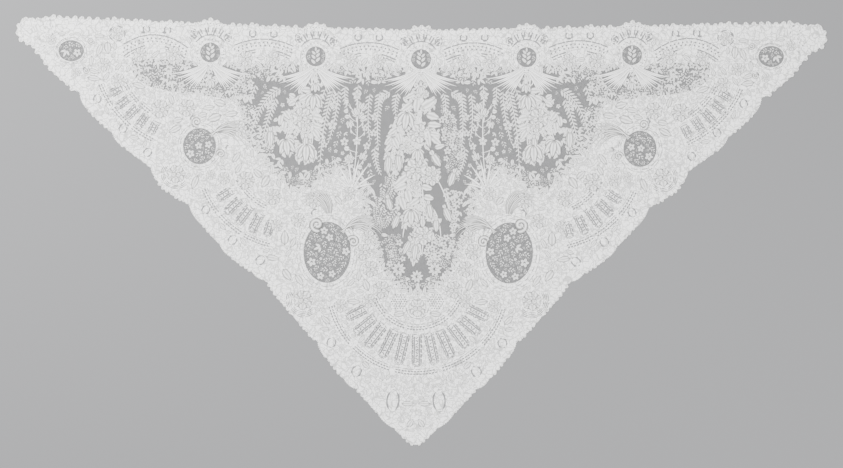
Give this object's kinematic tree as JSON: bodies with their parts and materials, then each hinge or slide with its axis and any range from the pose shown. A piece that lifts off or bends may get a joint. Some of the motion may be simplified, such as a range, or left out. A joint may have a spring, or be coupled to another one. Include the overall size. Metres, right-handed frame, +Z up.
{
  "type": "triangular lace shawl laid flat",
  "caption": "Triangular lace shawl laid flat, with a scalloped edge, ringed medallions, fan panels and flower bouquets on fine net.",
  "frame": {"origin": "middle of the shawl's box, on the surface it lies on", "axes": "+X along the long straight edge, +Y towards the straight edge, +Z up from the surface"},
  "size_m": [2.5908, 1.3703, 0.0035],
  "materials": {
    "dense_lace": "matt worked thread",
    "net": "fine open net",
    "raised_motif": "matt worked thread, raised"
  },
  "bodies": {
    "root": {"border_top_1": "dense_lace", "border_top_2": "dense_lace", "border_top_3": "dense_lace", "border_top_4": "dense_lace", "border_top_5": "dense_lace", "border_top_6": "dense_lace", "bouquet_centre": "raised_motif", "bouquet_left": "raised_motif", "bouquet_right": "raised_motif", "cartouche_lower_left": "dense_lace", "cartouche_lower_left_net": "net", "cartouche_lower_right": "dense_lace", "cartouche_lower_right_net": "net", "cartouche_upper_left": "dense_lace", "cartouche_upper_left_net": "net", "cartouche_upper_right": "dense_lace", "cartouche_upper_right_net": "net", "end_left": "dense_lace", "end_left_net": "net", "end_right": "dense_lace", "end_right_net": "net", "fan_bottom": "dense_lace", "fan_mid_left": "dense_lace", "fan_mid_right": "dense_lace", "fan_outer_left": "dense_lace", "fan_outer_right": "dense_lace", "garland_left_1": "raised_motif", "garland_left_2": "raised_motif", "garland_left_3": "raised_motif", "garland_right_1": "raised_motif", "garland_right_2": "raised_motif", "garland_right_3": "raised_motif", "medallion_1": "dense_lace", "medallion_2": "dense_lace", "medallion_3": "dense_lace", "medallion_4": "dense_lace", "medallion_5": "dense_lace", "medallion_net_1": "net", "medallion_net_2": "net", "medallion_net_3": "net", "medallion_net_4": "net", "medallion_net_5": "net", "net_ground": "net", "palmette_1": "raised_motif", "palmette_2": "raised_motif", "palmette_3": "raised_motif", "palmette_4": "raised_motif", "palmette_5": "raised_motif", "plume_lower_left": "raised_motif", "plume_lower_right": "raised_motif", "plume_upper_left": "raised_motif", "plume_upper_right": "raised_motif", "point_bottom": "dense_lace"}
  },
  "joints": []
}
